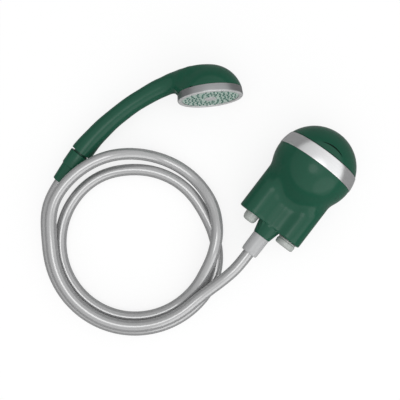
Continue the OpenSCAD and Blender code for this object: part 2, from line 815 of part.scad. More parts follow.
module handle() {
    lofted([for (i = [0:handle_cuts])
        let (share = i / handle_cuts, a = handle_sweep * share, across = [0, 1, 0], up = [-sin(a), 0, cos(a)],
            hh = blend(handle_rows, share, 1), hw = blend(handle_rows, share, 2),
            lift = blend(handle_rows, share, 3))
        [for (k = [0:head_sides - 1]) let (c = -360 * k / head_sides)
            handle_point(a) + hw * cos(c) * across + (lift + hh * sin(c)) * up]]);
}

// Outside of the head dome, from the bezel to a small flat at its top
module head_dome() {
    rim_a = asin(bezel_back_r / dome_r);
    lofted([for (i = [0:dome_cuts])
        let (a = rim_a * (1 - i / (dome_cuts + 0.5)))
        [for (k = [0:head_sides - 1]) let (c = 360 * k / head_sides)
            [dome_r * sin(a) * cos(c), dome_r * sin(a) * sin(c), dome_mid - dome_r * cos(a)]]]);
}

module handset_shell() {
    color(green) head_frame() difference() {
        union() {
            head_dome();
            handle();
            translate([0, 0, -bezel_h - 1]) cylinder(r = bezel_in_r - seat_gap, h = bezel_h + 1 + collar_top);
            translate(handle_point(handle_sweep)) rotate([0, 90 - handle_sweep, 0]) translate([0, 0, -1])
                cylinder(r = spigot_r, h = spigot_len + 1);
        }
        intersection() {
            translate([0, 0, dome_mid]) sphere(dome_in_r);
            below(shoulder_top - shoulder_h);
        }
        translate([0, 0, shoulder_top - shoulder_h - 0.5]) cylinder(r = shoulder_r, h = bezel_h);
        translate([0, 0, shoulder_top]) cylinder(r = collar_in_r, h = bezel_h);
        rotate_extrude() translate([face_ring_mid - face_ring_t, shoulder_top - 2 * face_ring_t])
            square([2 * face_ring_t, 2.5 * face_ring_t]);
        translate([0, 0, handle_arc - handle_back]) rotate([90, 0, 0]) rotate([0, 0, -90])
            rotate_extrude(angle = handle_sweep) translate([handle_arc, 0]) circle(channel_r);
        translate(handle_point(handle_sweep)) rotate([0, 90 - handle_sweep, 0]) translate([0, 0, -2])
            cylinder(r = channel_r - 0.5, h = spigot_len + 4);
    }
}

module bezel_ring() {
    color(satin) head_frame() rotate_extrude() polygon([
        [face_r, plate_top], [face_r, -0.7], [face_r + 0.7, 0], [bezel_r - 0.8, 0], [bezel_r, -0.8],
        [bezel_back_r, -bezel_h + 0.05], [bezel_in_r, -bezel_h + 0.05], [bezel_in_r, collar_top + 0.1],
        [face_r, collar_top + 0.1]]);
}

module nozzle_spots() {
    for (ring = nozzle_rings, i = [0:ring[0] - 1])
        rotate([0, 0, (i + 0.5) * 360 / ring[0]]) translate([ring[1], 0, 0]) children();
}

module spray_plate() {
    color(mint) head_frame() difference() {
        translate([0, 0, plate_top - plate_t]) cylinder(r = face_r - seat_gap, h = plate_t);
        nozzle_spots() translate([0, 0, plate_top - plate_t - 1])
            cylinder(r = nozzle_root_r + seat_gap, h = plate_t + 2);
        translate([0, 0, plate_top - plate_t - 1]) cylinder(r = 2, h = plate_t + 2);
    }
}

module nozzle_mat() {
    tall = plate_top + nozzle_out - mat_top;
    root = mat_t / 2;
    color(dark_green) head_frame() difference() {
        union() {
            translate([0, 0, mat_top - mat_t]) cylinder(r = collar_in_r - seat_gap, h = mat_t);
            nozzle_spots() translate([0, 0, mat_top - root])
                cylinder(r1 = nozzle_root_r, r2 = nozzle_r, h = root + tall);
        }
        nozzle_spots() translate([0, 0, mat_top - mat_t - 1])
            cylinder(r = nozzle_r / 2.4, h = mat_t + tall + 2);
        translate([0, 0, mat_top - mat_t - 1]) cylinder(r = 2, h = mat_t + 2);
    }
}

module spread_plate() {
    color(cream) head_frame() difference() {
        translate([0, 0, spread_top - spread_t]) cylinder(r = collar_in_r - seat_gap, h = spread_t);
        for (a = [0:45:315])
            rotate([0, 0, a]) translate([13, 0, spread_top - spread_t - 1]) cylinder(r = 3, h = spread_t + 2);
        translate([0, 0, spread_top - spread_t - 1]) cylinder(r = 1.3, h = spread_t + 2);
    }
}

module face_o_ring() {
    color(black) head_frame() translate([0, 0, shoulder_top - face_ring_t]) rotate_extrude()
        translate([face_ring_mid, 0]) circle(face_ring_t - 0.05);
}

module centre_cap() {
    color(satin) head_frame() rotate_extrude() polygon([
        [0, plate_top], [cap_r, plate_top], [cap_r, plate_top + 0.5], [cap_r - 0.7, plate_top + 1],
        [0, plate_top + 1.1]]);
}

module centre_screw() {
    color(steel) head_frame() {
        translate([0, 0, spread_top - spread_t - 2])
            cylinder(r = 1.25, h = plate_top - spread_top + spread_t + 2);
        translate([0, 0, spread_top - spread_t - 3.5]) cylinder(r = 2.6, h = 3.45);
    }
}

pump_housing();
trim_band();
intake_cover();
strainer();
eye_plate();
eye_screws();
pump_chamber();
cover_o_ring();
impeller();
motor_shaft();
shaft_seal();
motor_can();
motor_end_cap();
bulkhead();
bulkhead_screws();
outlet_tube();
outlet_spigot();
hose_sleeve();
battery_cell_left();
battery_cell_right();
cell_sleeves();
circuit_board();
power_switch();
power_button();
charge_socket();
charge_cover();
hose_lead();
hose_coil();
coupling_nut();
hose_tail();
nut_washer();
handset_shell();
bezel_ring();
spray_plate();
nozzle_mat();
spread_plate();
face_o_ring();
centre_cap();
centre_screw();
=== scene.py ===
import json
import math

import bmesh
import bpy
import numpy as np
from mathutils import Matrix, Vector


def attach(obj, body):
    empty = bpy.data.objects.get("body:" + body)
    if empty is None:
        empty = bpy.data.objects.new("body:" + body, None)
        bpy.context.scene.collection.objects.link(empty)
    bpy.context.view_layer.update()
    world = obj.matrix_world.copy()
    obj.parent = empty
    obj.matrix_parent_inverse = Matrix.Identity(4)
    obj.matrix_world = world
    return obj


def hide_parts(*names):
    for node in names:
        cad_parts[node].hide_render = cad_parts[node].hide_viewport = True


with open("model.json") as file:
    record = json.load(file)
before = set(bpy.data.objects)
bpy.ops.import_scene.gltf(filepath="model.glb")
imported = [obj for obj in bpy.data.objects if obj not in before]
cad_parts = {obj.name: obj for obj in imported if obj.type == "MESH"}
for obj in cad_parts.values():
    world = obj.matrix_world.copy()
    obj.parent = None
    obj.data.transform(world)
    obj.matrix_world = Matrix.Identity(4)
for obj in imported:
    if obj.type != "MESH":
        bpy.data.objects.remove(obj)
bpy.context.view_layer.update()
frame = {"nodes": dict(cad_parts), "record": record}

mm = 0.001
scene = bpy.context.scene
scene.view_settings.view_transform = "Standard"
cadNodes = frame["nodes"]
slotOf = {s["node"]: s["material_slot"] for s in frame["record"]["subparts"]}

# camera straight over the set, as the photograph looks
viewFrom = {"at": (-0.0683, -0.0914), "high": 0.7, "roll": 37.4, "halfWidth": 0.2, "nearest": 0.01}
eye = bpy.data.cameras.new("overhead")
eye.sensor_fit = "HORIZONTAL"
eye.angle = 2 * math.atan(viewFrom["halfWidth"] / viewFrom["high"])
eye.clip_start = viewFrom["nearest"]
eyeHolder = bpy.data.objects.new("overhead", eye)
eyeHolder.location = (*viewFrom["at"], viewFrom["high"])
eyeHolder.rotation_euler = (0, 0, math.radians(viewFrom["roll"]))
scene.collection.objects.link(eyeHolder)
scene.camera = eyeHolder
print("camera placed")

# the tilted frames that everything is measured in, in mm
pump = {"axisHigh": 24.0, "ball": 40.5, "wall": 2.8, "legR": 15.3, "legX": 19.7, "legEnd": 71.0,
        "columnR": 12.0, "columnEnd": 83.3, "portX": 22.6}
hand = {"at": (-118.5, -9.2, 31.7), "turn": -46.4, "tip": 5.6, "roll": -79.6,
        "arc": 187.0, "sweep": 45.5, "back": 23.0}


def turned(degrees, axis):
    return Matrix.Rotation(math.radians(degrees), 4, axis)


def arcPoint(degrees):
    a = math.radians(degrees)
    return Vector((hand["arc"] * math.sin(a), 0, -hand["back"] + hand["arc"] * (1 - math.cos(a))))


def eased(t):  # 0 to 1 with a soft start and end
    return t * t * (3 - 2 * t)


pumpFrame = Matrix.Translation((0, 0, pump["axisHigh"])) @ turned(-90, "X")
headFrame = (Matrix.Translation(hand["at"]) @ turned(hand["turn"], "Z")
             @ turned(90 - hand["tip"], "Y") @ turned(hand["roll"], "Z"))
tailFrame = headFrame @ Matrix.Translation(arcPoint(hand["sweep"])) @ turned(90 - hand["sweep"], "Y")

# hose first: its route is the one the solids follow
hose = {"thick": 11.5, "roundness": 7, "spacing": 2.0, "joinPasses": 6, "linePasses": 3,
        "inNut": (14.2, 25.0, 36.0, 47.5), "sleeveMouth": -103.6, "sleeveMid": -94.0, "hidden": -84.9,
        "leadCuts": 24, "leadPull": 0.9,
        "coilMid": (-94.0, -164.0), "firstTurn": 190.0, "lastTurn": 1072.0, "turnStep": 3.0,
        # degrees round the coil, reach from its middle, height
        "route": [(186, 95, 8), (220, 86.3, 6), (310, 87, 6), (365, 87, 6), (430, 74, 6), (490, 72.5, 6),
                  (520, 74.2, 6), (580, 74, 6), (670, 74.6, 6), (706, 74.8, 6), (734, 75, 15.6),
                  (752, 78.6, 19.8), (764, 82.5, 19.2), (784, 86, 13), (806, 86.7, 6), (824, 87, 6),
                  (868, 88.2, 22), (905, 87.8, 22), (940, 80, 17.6), (1030, 81.5, 17.6), (1072, 82, 18.6)]}


def routeAt(turn):
    rows = hose["route"]
    i = max(k for k in range(len(rows) - 1) if rows[k][0] <= turn or k == 0)
    t = eased(min(1.0, max(0.0, (turn - rows[i][0]) / (rows[i + 1][0] - rows[i][0]))))
    reach, high = (rows[i][c] + (rows[i + 1][c] - rows[i][c]) * t for c in (1, 2))
    a = math.radians(turn)
    return Vector((hose["coilMid"][0] + reach * math.cos(a), hose["coilMid"][1] + reach * math.sin(a), high))


def leadLine(coil):
    # one smooth bend from the end of the coil to the mouth of the sleeve
    start = coil[-1]
    out = Vector((0, hose["sleeveMouth"] - hose["thick"], pump["axisHigh"]))
    pull = hose["leadPull"] * (out - start).length
    leave = (coil[-1] - coil[-2]).normalized() * pull
    arrive = Vector((0, 1, 0)) * pull
    lead = []
    for k in range(1, hose["leadCuts"] + 1):
        t = k / hose["leadCuts"]
        lead.append((2 * t**3 - 3 * t**2 + 1) * start + (t**3 - 2 * t**2 + t) * leave
                    + (3 * t**2 - 2 * t**3) * out + (t**3 - t**2) * arrive)
    return lead


def easeLine(points, first, last, passes):
    # moves each point towards its neighbours, but not those at the two ends
    for _ in range(passes):
        before, after = points[first - 1:-last - 1], points[first + 1:1 - last]
        points[first:-last] = 0.25 * before + 0.5 * points[first:-last] + 0.25 * after


def hoseLine():
    inNut = [tailFrame @ Vector((0, 0, w)) for w in hose["inNut"]]
    coil = [routeAt(t) for t in np.arange(hose["firstTurn"], hose["lastTurn"] + 0.1, hose["turnStep"])]
    inSleeve = [Vector((0, hose[spot], pump["axisHigh"])) for spot in ("sleeveMouth", "sleeveMid", "hidden")]
    points = np.array([tuple(p) for p in inNut + coil + leadLine(coil) + inSleeve])
    easeLine(points, 2, 3, hose["joinPasses"])
    run = np.concatenate(([0], np.cumsum(np.linalg.norm(np.diff(points, axis=0), axis=1))))
    even = np.linspace(0, run[-1], int(run[-1] / hose["spacing"]))
    points = np.stack([np.interp(even, run, points[:, c]) for c in range(3)], axis=1)
    easeLine(points, 3, 3, hose["linePasses"])
    return points[::-1] * mm


hosePoints = hoseLine()
hoseCurve = bpy.data.curves.new("hose", "CURVE")
hoseCurve.dimensions = "3D"
hoseCurve.bevel_depth = 1.0  # the points carry the true radius
hoseCurve.bevel_resolution = hose["roundness"]
hoseCurve.use_fill_caps = True
strand = hoseCurve.splines.new("POLY")
strand.points.add(len(hosePoints) - 1)
for spot, place in zip(strand.points, hosePoints):
    spot.co = (*place, 1)
    spot.radius = hose["thick"] / 2 * mm
strand.use_smooth = True
hosePiece = bpy.data.objects.new("hose", hoseCurve)
scene.collection.objects.link(hosePiece)
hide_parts("hose_lead", "hose_coil")
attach(hosePiece, "set")


# shader maths
class Wire:
    def __init__(self, finish, socket):
        self.finish, self.socket = finish, socket

    def maths(self, operation, first, second):
        return self.finish.add("ShaderNodeMath", {"operation": operation}, {0: first, 1: second})

    def __add__(self, other):
        return self.maths("ADD", self, other)

    def __sub__(self, other):
        return self.maths("SUBTRACT", self, other)

    def __rsub__(self, other):
        return self.maths("SUBTRACT", other, self)

    def __mul__(self, other):
        return self.maths("MULTIPLY", self, other)

    __radd__ = __add__


class Finish:
    bumpDeep = 0.05 * mm

    def __init__(self, name, owner=None):
        self.data = owner or bpy.data.materials.new(name)
        self.data.use_nodes = True
        self.tree = self.data.node_tree
        self.surface = self.tree.nodes.get("Principled BSDF")

    def add(self, kind, settings=None, sockets=None, out=0):
        node = self.tree.nodes.new(kind)
        for key, value in (settings or {}).items():
            setattr(node, key, value)
        self.plug(node, sockets or {})
        return Wire(self, node.outputs[out])

    def plug(self, node, sockets):
        for key, value in sockets.items():
            if isinstance(value, Wire):
                self.tree.links.new(value.socket, node.inputs[key])
            else:
                node.inputs[key].default_value = value

    def where(self):
        return self.add("ShaderNodeTexCoord", out="Object")

    def carried(self, name):  # what the mesh carries under this name
        return self.add("ShaderNodeAttribute", {"attribute_name": name}, out="Vector")

    def part(self, vector, axis):
        return self.add("ShaderNodeSeparateXYZ", {}, {0: vector}, axis)

    def stretched(self, scale, source=None):
        sockets = {"Vector": source or self.where(), "Scale": scale}
        return self.add("ShaderNodeMapping", {"vector_type": "POINT"}, sockets)

    def cloud(self, scale, detail=2.0, vector=None, rough=0.5):
        sockets = {"Vector": vector or self.where(), "Scale": scale, "Detail": detail, "Roughness": rough}
        return self.add("ShaderNodeTexNoise", {}, sockets, "Fac")

    def between(self, factor, low, high):
        low = low if isinstance(low, Wire) else (*low, 1)
        return self.add("ShaderNodeMix", {"data_type": "RGBA"}, {0: factor, 6: low, 7: (*high, 1)}, 2)

    def stops(self, value, low, high):  # 0 under low, 1 over high
        sockets = {0: value, 1: low, 2: high}
        return self.add("ShaderNodeMapRange", {"interpolation_type": "SMOOTHSTEP"}, sockets)

    def bumped(self, height, strength):
        sockets = {"Height": height, "Strength": strength, "Distance": self.bumpDeep}
        return self.add("ShaderNodeBump", {}, sockets)

    def done(self, sockets):
        self.plug(self.surface, sockets)
        return self.data


moulded = {"drift": 26.0, "driftShare": 0.75, "speck": 420.0, "speckShare": 0.25, "dullDrift": 0.05,
           "scuff": 60.0, "scuffAlong": (1.0, 9.0, 2.0), "scuffRough": 0.7, "scuffEdge": (0.60, 0.78),
           "dullScuff": 0.06, "skin": 1500.0, "peel": 0.10, "coatRough": 0.06}


def mouldedPlastic(name, dark, light, gloss, coat, shine=0.5):
    f = Finish(name)
    drift = f.cloud(moulded["drift"], 3.0)
    speck = f.cloud(moulded["speck"], 2.0)
    rubbed = f.cloud(moulded["scuff"], 4.0, f.stretched(moulded["scuffAlong"]), moulded["scuffRough"])
    scuffs = f.stops(rubbed, *moulded["scuffEdge"])
    skin = f.cloud(moulded["skin"], 1.0)
    tint = drift * moulded["driftShare"] + speck * moulded["speckShare"]
    return f.done({"Base Color": f.between(tint, dark, light),
                   "Roughness": gloss + drift * moulded["dullDrift"] + scuffs * moulded["dullScuff"],
                   "Specular IOR Level": shine, "Coat Weight": coat, "Coat Roughness": moulded["coatRough"],
                   "Normal": f.bumped(skin, moulded["peel"])})


brushing = {"rough": 0.65, "strokeShare": 0.7, "drift": 30.0, "driftShare": 0.3, "dull": 0.12, "bump": 0.12}


def brushMarks(f, lines, source):
    strokes = f.cloud(1.0, 4.0, f.stretched(lines, source), brushing["rough"])
    drift = f.cloud(brushing["drift"], 2.0)
    return strokes, strokes * brushing["strokeShare"] + drift * brushing["driftShare"]


def brushedTrim(name, dark, light, gloss, metal, lines, along):
    f = Finish(name)
    strokes, tint = brushMarks(f, lines, f.carried(along))
    return f.done({"Base Color": f.between(tint, dark, light), "Metallic": metal,
                   "Roughness": gloss + strokes * brushing["dull"],
                   "Normal": f.bumped(strokes, brushing["bump"])})


def satinRing(name, dark, light, front, gloss, metal, lessMetal, lines, lip):
    f = Finish(name)
    turning = f.carried("turning")
    strokes, tint = brushMarks(f, lines, turning)
    # painted highlight: near the front edge (the bezel's lip, the top of the centre cap) the colour turns
    # lighter and less metallic, for the light the lip catches
    lipPaintedLightMask = f.stops(f.part(turning, 2) - f.part(turning, 0), *lip)  # by the height over the front edge
    return f.done({"Base Color": f.between(lipPaintedLightMask, f.between(tint, dark, light), front),
                   "Metallic": metal - lipPaintedLightMask * lessMetal, "Roughness": gloss + strokes * brushing["dull"],
                   "Normal": f.bumped(strokes, brushing["bump"])})


rubber = {"dust": 240.0, "dustRough": 0.7, "dull": 0.15, "shine": 0.35, "grain": 2200.0, "bump": 0.15}


def softRubber(name, dark, light, rough):
    f = Finish(name)
    dust = f.cloud(rubber["dust"], 4.0, rough=rubber["dustRough"])
    return f.done({"Base Color": f.between(dust, dark, light), "Roughness": rough + dust * rubber["dull"],
                   "Specular IOR Level": rubber["shine"],
                   "Normal": f.bumped(f.cloud(rubber["grain"]), rubber["bump"])})


vinyl = {"dark": (0.245, 0.247, 0.25), "light": (0.305, 0.307, 0.31), "drift": 14.0, "driftShare": 0.6,
         "streak": 160.0, "streakRough": 0.6, "streakShare": 0.4, "gloss": 0.24, "dull": 0.08,
         "coat": 1.0, "coatIndex": 2.4, "coatRough": 0.11, "ripple": 700.0, "bump": 0.06}


def hoseVinyl(name):
    f = Finish(name)
    drift = f.cloud(vinyl["drift"], 3.0)
    streak = f.cloud(vinyl["streak"], 3.0, rough=vinyl["streakRough"])
    tint = drift * vinyl["driftShare"] + streak * vinyl["streakShare"]
    return f.done({"Base Color": f.between(tint, vinyl["dark"], vinyl["light"]),
                   "Roughness": vinyl["gloss"] + streak * vinyl["dull"], "Coat Weight": vinyl["coat"],
                   "Coat IOR": vinyl["coatIndex"], "Coat Roughness": vinyl["coatRough"],
                   "Normal": f.bumped(f.cloud(vinyl["ripple"], 2.0), vinyl["bump"])})


board = {"dark": (0.008, 0.07, 0.02), "light": (0.03, 0.16, 0.06), "step": 0.37, "tracks": 260.0, "gap": 0.06,
         "gloss": 0.35, "dull": 0.1}


def boardFinish(name):
    f = Finish(name)
    sockets = {"Vector": f.where(), "Scale": board["tracks"], "Mortar Size": board["gap"]}
    tracks = f.add("ShaderNodeTexBrick", {"offset": board["step"]}, sockets, "Fac")
    return f.done({"Base Color": f.between(tracks, board["dark"], board["light"]),
                   "Roughness": board["gloss"] + tracks * board["dull"]})


wrap = {"film": (0.03, 0.10, 0.28), "stripe": (0.5, 0.52, 0.55), "stripes": 8.0, "stripeEdge": (0.86, 0.9),
        "gloss": 0.3, "dull": 0.06, "crinkle": 500.0, "bump": 0.08}


def cellWrap(name):
    f = Finish(name)
    sockets = {"Vector": f.where(), "Scale": wrap["stripes"]}
    waves = f.add("ShaderNodeTexWave", {"bands_direction": "Y"}, sockets, "Fac")
    return f.done({"Base Color": f.between(f.stops(waves, *wrap["stripeEdge"]), wrap["film"], wrap["stripe"]),
                   "Roughness": wrap["gloss"] + waves * wrap["dull"],
                   "Normal": f.bumped(f.cloud(wrap["crinkle"]), wrap["bump"])})


# one finish for each material slot of the record
finishes = {
    "green_plastic": mouldedPlastic("greenShellPlastic", dark=(0.0098, 0.069, 0.040),
                                    light=(0.014, 0.085, 0.051), gloss=0.14, coat=0.0, shine=0.22),
    "silver_trim": brushedTrim("silverBand", dark=(0.70, 0.705, 0.71), light=(0.88, 0.885, 0.89),
                               gloss=0.20, metal=0.9, lines=(4.0, 4.0, 900.0), along="turning"),
    "pale_plastic": mouldedPlastic("paleCapPlastic", dark=(0.35, 0.375, 0.355), light=(0.435, 0.46, 0.44),
                                   gloss=0.24, coat=0.25),
    "cream_plastic": mouldedPlastic("creamInnerPlastic", dark=(0.62, 0.57, 0.44), light=(0.74, 0.70, 0.57),
                                    gloss=0.42, coat=0.0),
    "steel": brushedTrim("turnedSteel", dark=(0.45, 0.46, 0.48), light=(0.62, 0.63, 0.65),
                         gloss=0.25, metal=1.0, lines=(300.0, 300.0, 300.0), along="position"),
    "black_rubber": softRubber("sealRubber", dark=(0.012, 0.012, 0.013), light=(0.03, 0.03, 0.032),
                               rough=0.6),
    "black_plastic": mouldedPlastic("blackInnerPlastic", dark=(0.015, 0.015, 0.017),
                                    light=(0.03, 0.03, 0.033), gloss=0.45, coat=0.0),
    "grey_sleeve": mouldedPlastic("greySleeveVinyl", dark=(0.36, 0.365, 0.37), light=(0.45, 0.455, 0.46),
                                  gloss=0.28, coat=0.2),
    "cell_wrap": cellWrap("cellWrap"),
    "board": boardFinish("boardTracks"),
    "grey_hose": hoseVinyl("greyHoseVinyl"),
    # front is a painted highlight on the lip; dark and light are the brushed satin tone
    "satin_trim": satinRing("satinBezel", dark=(0.25, 0.255, 0.26), light=(0.42, 0.425, 0.43),
                            front=(0.60, 0.605, 0.605), gloss=0.30, metal=0.85, lessMetal=0.6,
                            lines=(4.0, 4.0, 1100.0), lip=(-0.0013, -0.0005)),
    "mint_plastic": mouldedPlastic("mintFacePlastic", dark=(0.40, 0.52, 0.46), light=(0.50, 0.61, 0.55),
                                   gloss=0.50, coat=0.0, shine=0.3),
    "green_rubber": softRubber("nozzleRubber", dark=(0.085, 0.18, 0.15), light=(0.12, 0.23, 0.195),
                               rough=0.45),
}
hoseCurve.materials.append(finishes["grey_hose"])
for name, thing in cadNodes.items():
    thing.data.materials.clear()
    thing.data.materials.append(finishes[slotOf[name]])
print("finishes mixed:", len(finishes))


# mesh helpers
def asObject(bm, name):
    bmesh.ops.recalc_face_normals(bm, faces=bm.faces)
    mesh = bpy.data.meshes.new(name)
    bm.to_mesh(mesh)
    bm.free()
    piece = bpy.data.objects.new(name, mesh)
    scene.collection.objects.link(piece)
    return piece


def dress(piece, body, slot, stands, sharp=35.0):
    piece.data.shade_smooth()
    piece.data.set_sharp_from_angle(angle=math.radians(sharp))
    piece.data.materials.clear()
    piece.data.materials.append(finishes[slot])
    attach(piece, body)
    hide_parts(*stands)


def softened(corners, cuts=4):
    # corners are (r, z, rounding); each rounded corner becomes a short arc
    line = []
    count = len(corners)
    for i, (r, z, soft) in enumerate(corners):
        here = Vector((r, z))
        if not soft:
            line.append(here)
            continue
        back = Vector(corners[i - 1][:2]) - here
        on = Vector(corners[(i + 1) % count][:2]) - here
        a = here + back.normalized() * min(soft, 0.49 * back.length)
        b = here + on.normalized() * min(soft, 0.49 * on.length)
        for k in range(cuts + 1):
            t = k / cuts
            line.append((1 - t) ** 2 * a + 2 * t * (1 - t) * here + t * t * b)
    return line


def spun(bm, line, steps, closed):
    # a line of points in the xz plane, spun about z
    verts = [bm.verts.new(point) for point in line]
    edges = [bm.edges.new(pair) for pair in zip(verts, verts[1:])]
    if closed:
        edges.append(bm.edges.new((verts[-1], verts[0])))
    bmesh.ops.spin(bm, geom=verts + edges, cent=(0, 0, 0), axis=(0, 0, 1), angle=2 * math.pi, steps=steps,
                   use_merge=True)


def turnedShape(bm, corners, place, steps=96, closed=True):
    # a turned profile, which also carries its own r and z for the brushed finishes
    layer = bm.verts.layers.float_vector.get("turning") or bm.verts.layers.float_vector.new("turning")
    older = set(bm.verts)
    spun(bm, [(p.x, 0, p.y) for p in softened(corners)], steps, closed)
    fresh = [v for v in bm.verts if v not in older]
    for v in fresh:
        r = math.hypot(v.co.x, v.co.y)
        v[layer] = (r * mm, 0.0, (v.co.z + r) * mm)
    bmesh.ops.remove_doubles(bm, verts=fresh, dist=0.0005)
    fresh = [v for v in fresh if v.is_valid]
    bmesh.ops.transform(bm, matrix=Matrix.Scale(mm, 4) @ place, verts=fresh)


def turnedPiece(name, corners, place, body, slot, stands, steps=96, closed=True):
    bm = bmesh.new()
    turnedShape(bm, corners, place, steps, closed)
    dress(asObject(bm, name), body, slot, stands)


def ringGrid(rows, closed):
    # a spun grid whose points are then pushed to the given rows of points, in mm
    columns = len(rows[0])
    bm = bmesh.new()
    spun(bm, [(1.0 + i, 0, 0) for i in range(len(rows))], columns, closed)
    for v in bm.verts:
        row = round(math.hypot(v.co.x, v.co.y) - 1)
        column = round(math.atan2(v.co.y, v.co.x) / (2 * math.pi / columns)) % columns
        v.co = Vector(rows[row][column]) * mm
    return bm


def fillHoles(bm):
    bmesh.ops.holes_fill(bm, edges=[e for e in bm.edges if e.is_boundary], sides=0)


def meet(a, b, reach):  # soft union of two distances
    h = np.maximum(reach - np.abs(a - b), 0) / reach
    return np.minimum(a, b) - h * h * reach / 4


def trim(a, b, reach):  # soft intersection
    return -meet(-a, -b, reach)


def ramp(value, start, run):  # 0 before start, 1 after the run
    return np.clip((value - start) / run, 0, 1)


def reachOut(gap, start, way, far=60.0, samples=140, halvings=16):
    # distance along each ray to the first place outside the skin
    t = np.linspace(0, far, samples)
    outside = gap(start[:, None, :] + way[:, None, :] * t[None, :, None]) > 0
    first = np.maximum(np.argmax(outside, axis=1), 1)
    low, high = t[first - 1], t[first]
    for _ in range(halvings):
        middle = (low + high) / 2
        out = gap(start + way * middle[:, None]) > 0
        low, high = np.where(out, low, middle), np.where(out, middle, high)
    return (low + high) / 2


def carve(piece, cutters):
    for cutter in cutters:
        knife = piece.modifiers.new("carve", "BOOLEAN")
        knife.operation, knife.solver, knife.object = "DIFFERENCE", "EXACT", cutter
    shaped = bpy.data.meshes.new_from_object(piece.evaluated_get(bpy.context.evaluated_depsgraph_get()))
    piece.modifiers.clear()
    old, piece.data = piece.data, shaped
    bpy.data.meshes.remove(old)
    for cutter in cutters:
        bpy.data.objects.remove(cutter)


def roundCutter(name, place, r, low, high, steps=64):
    bm = bmesh.new()
    bmesh.ops.create_cone(bm, cap_ends=True, segments=steps, radius1=r, radius2=r, depth=high - low)
    lifted = place @ Matrix.Translation((0, 0, (low + high) / 2))
    bmesh.ops.transform(bm, matrix=Matrix.Scale(mm, 4) @ lifted, verts=bm.verts)
    return asObject(bm, name)


def pumpSpokes(columns):
    turns = np.arange(columns) * 2 * math.pi / columns
    return np.stack([np.cos(turns), np.sin(turns), np.zeros_like(turns)], axis=1)


def toBack(way, back):
    # how far each spoke runs before it meets the flat back
    down = np.minimum(way[:, 1], -1e-6)
    return np.where(way[:, 1] < -1e-6, -back / down, np.inf)


def pumpRows(rows, way):
    # rows are (height along the pump, reach of each spoke)
    return [[(r * x, w, pump["axisHigh"] + r * y) for r, (x, y, _) in zip(reach, way)] for w, reach in rows]


# pump housing: ball, two legs and column flowing into each other
housing = {"ballToLeg": 2.2, "frontFill": 9.0, "frontDeep": 10.0, "frontHalf": 34.0, "frontSide": 10.0,
           "legToColumn": 9.0, "backEdge": 2.5, "endEdge": 1.4, "columns": 192, "sharp": 38.0,
           "bandLow": 1.0, "rim": 14.5, "bandSeat": 39.6, "seatRows": 5,
           "ballRows": (-16.0, 9), "joinRows": (-18.0, -48.0, 31), "legsFrom": -50.0, "legRows": 9,
           "edgeTurns": (30, 60, 90), "endShares": (0.35, 0.7, 0.97), "ridgeMost": 4.0, "ridgeEase": 2.4,
           # drop under the legs, change of radius, share of the ridge
           "columnRows": [(0.4, 0.0, 1.0), (2.5, -0.55, 0.6), (6.0, -1.45, 0.15)],
           # height over the column's end, radius
           "tipRows": [(0.7, 9.15), (0.15, 8.95), (0.0, 8.4)],
           "floor": -68.2, "floorHole": 6.0, "floorLift": 0.2, "innerFrom": -64.0, "innerRows": 26,
           "buttonHole": 7.06, "plugHole": 6.51, "stemHole": 4.6, "cutPast": 3.0}


def housingGap(p):
    u, v, w = p[..., 0], p[..., 1], p[..., 2]
    ball = np.sqrt(u * u + v * v + w * w) - pump["ball"]
    side = np.sqrt((np.abs(u) - pump["legX"]) ** 2 + v * v) - pump["legR"]
    column = np.sqrt(u * u + v * v) - pump["columnR"]
    front = ramp(v, 0, housing["frontDeep"]) * ramp(-np.abs(u), -housing["frontHalf"], housing["frontSide"])
    lower = meet(side, column, housing["legToColumn"])
    body = meet(ball, lower, housing["ballToLeg"] + housing["frontFill"] * front)
    return trim(body, -pump["axisHigh"] - v, housing["backEdge"])


def housingRing(way, w, inset):
    start = np.tile((0.0, 0.0, w), (len(way), 1))
    return reachOut(lambda p: housingGap(p) + inset, start, way)


def housingOutside(way):
    end, edge = -pump["legEnd"], housing["endEdge"]
    levels = np.concatenate((np.linspace(housing["bandLow"], *housing["ballRows"]),
                             np.linspace(*housing["joinRows"]),
                             np.linspace(housing["legsFrom"], end + edge, housing["legRows"])))
    rows = [(w, housingRing(way, w, 0.0)) for w in levels]
    for a in np.radians(housing["edgeTurns"]):
        soft = housingRing(way, end + edge, edge * (1 - math.cos(a)))
        rows.append((end + edge * (1 - math.sin(a)), np.maximum(soft, pump["columnR"])))
    flat = rows[-1][1]
    spare = flat - pump["columnR"]
    ridge = spare * ramp(-spare, -housing["ridgeMost"], housing["ridgeEase"])
    root = pump["columnR"] + ridge  # the filled hollows run on down the column
    rows += [(end, flat + (root - flat) * share) for share in housing["endShares"]]
    rows += [(end - drop, pump["columnR"] + change + share * ridge)
             for drop, change, share in housing["columnRows"]]
    rows += [(high - pump["columnEnd"], np.full(len(way), r)) for high, r in housing["tipRows"]]
    return rows


def housingInside(way):
    floor = housing["floor"]
    stem = np.full(len(way), housing["stemHole"])
    rows = [(-pump["columnEnd"], stem), (floor, stem), (floor, np.full(len(way), housing["floorHole"])),
            (floor, housingRing(way, floor + housing["floorLift"], pump["wall"]))]
    levels = np.linspace(housing["innerFrom"], housing["rim"], housing["innerRows"])
    rows += [(w, housingRing(way, w, pump["wall"])) for w in levels]
    for w in np.linspace(housing["rim"], housing["bandLow"], housing["seatRows"]):
        seat = math.sqrt(housing["bandSeat"] ** 2 - w * w)  # under the band, cut flat at the back
        rows.append((w, np.minimum(seat, toBack(way, pump["axisHigh"]))))
    return rows


def housingPiece():
    way = pumpSpokes(housing["columns"])
    rows = housingOutside(way) + housingInside(way)
    piece = asObject(ringGrid(pumpRows(rows, way), True), "pump_shell")
    low, high = -pump["legEnd"] - housing["cutPast"], housing["floor"] + housing["cutPast"]
    holes = [("buttonHole", -pump["legX"]), ("plugHole", pump["portX"])]
    carve(piece, [roundCutter(name, pumpFrame @ Matrix.Translation((x, 0, 0)), housing[name], low, high)
                  for name, x in holes])
    dress(piece, "set", "green_plastic", ["pump_housing"], housing["sharp"])


housingPiece()
print("pump shell made")

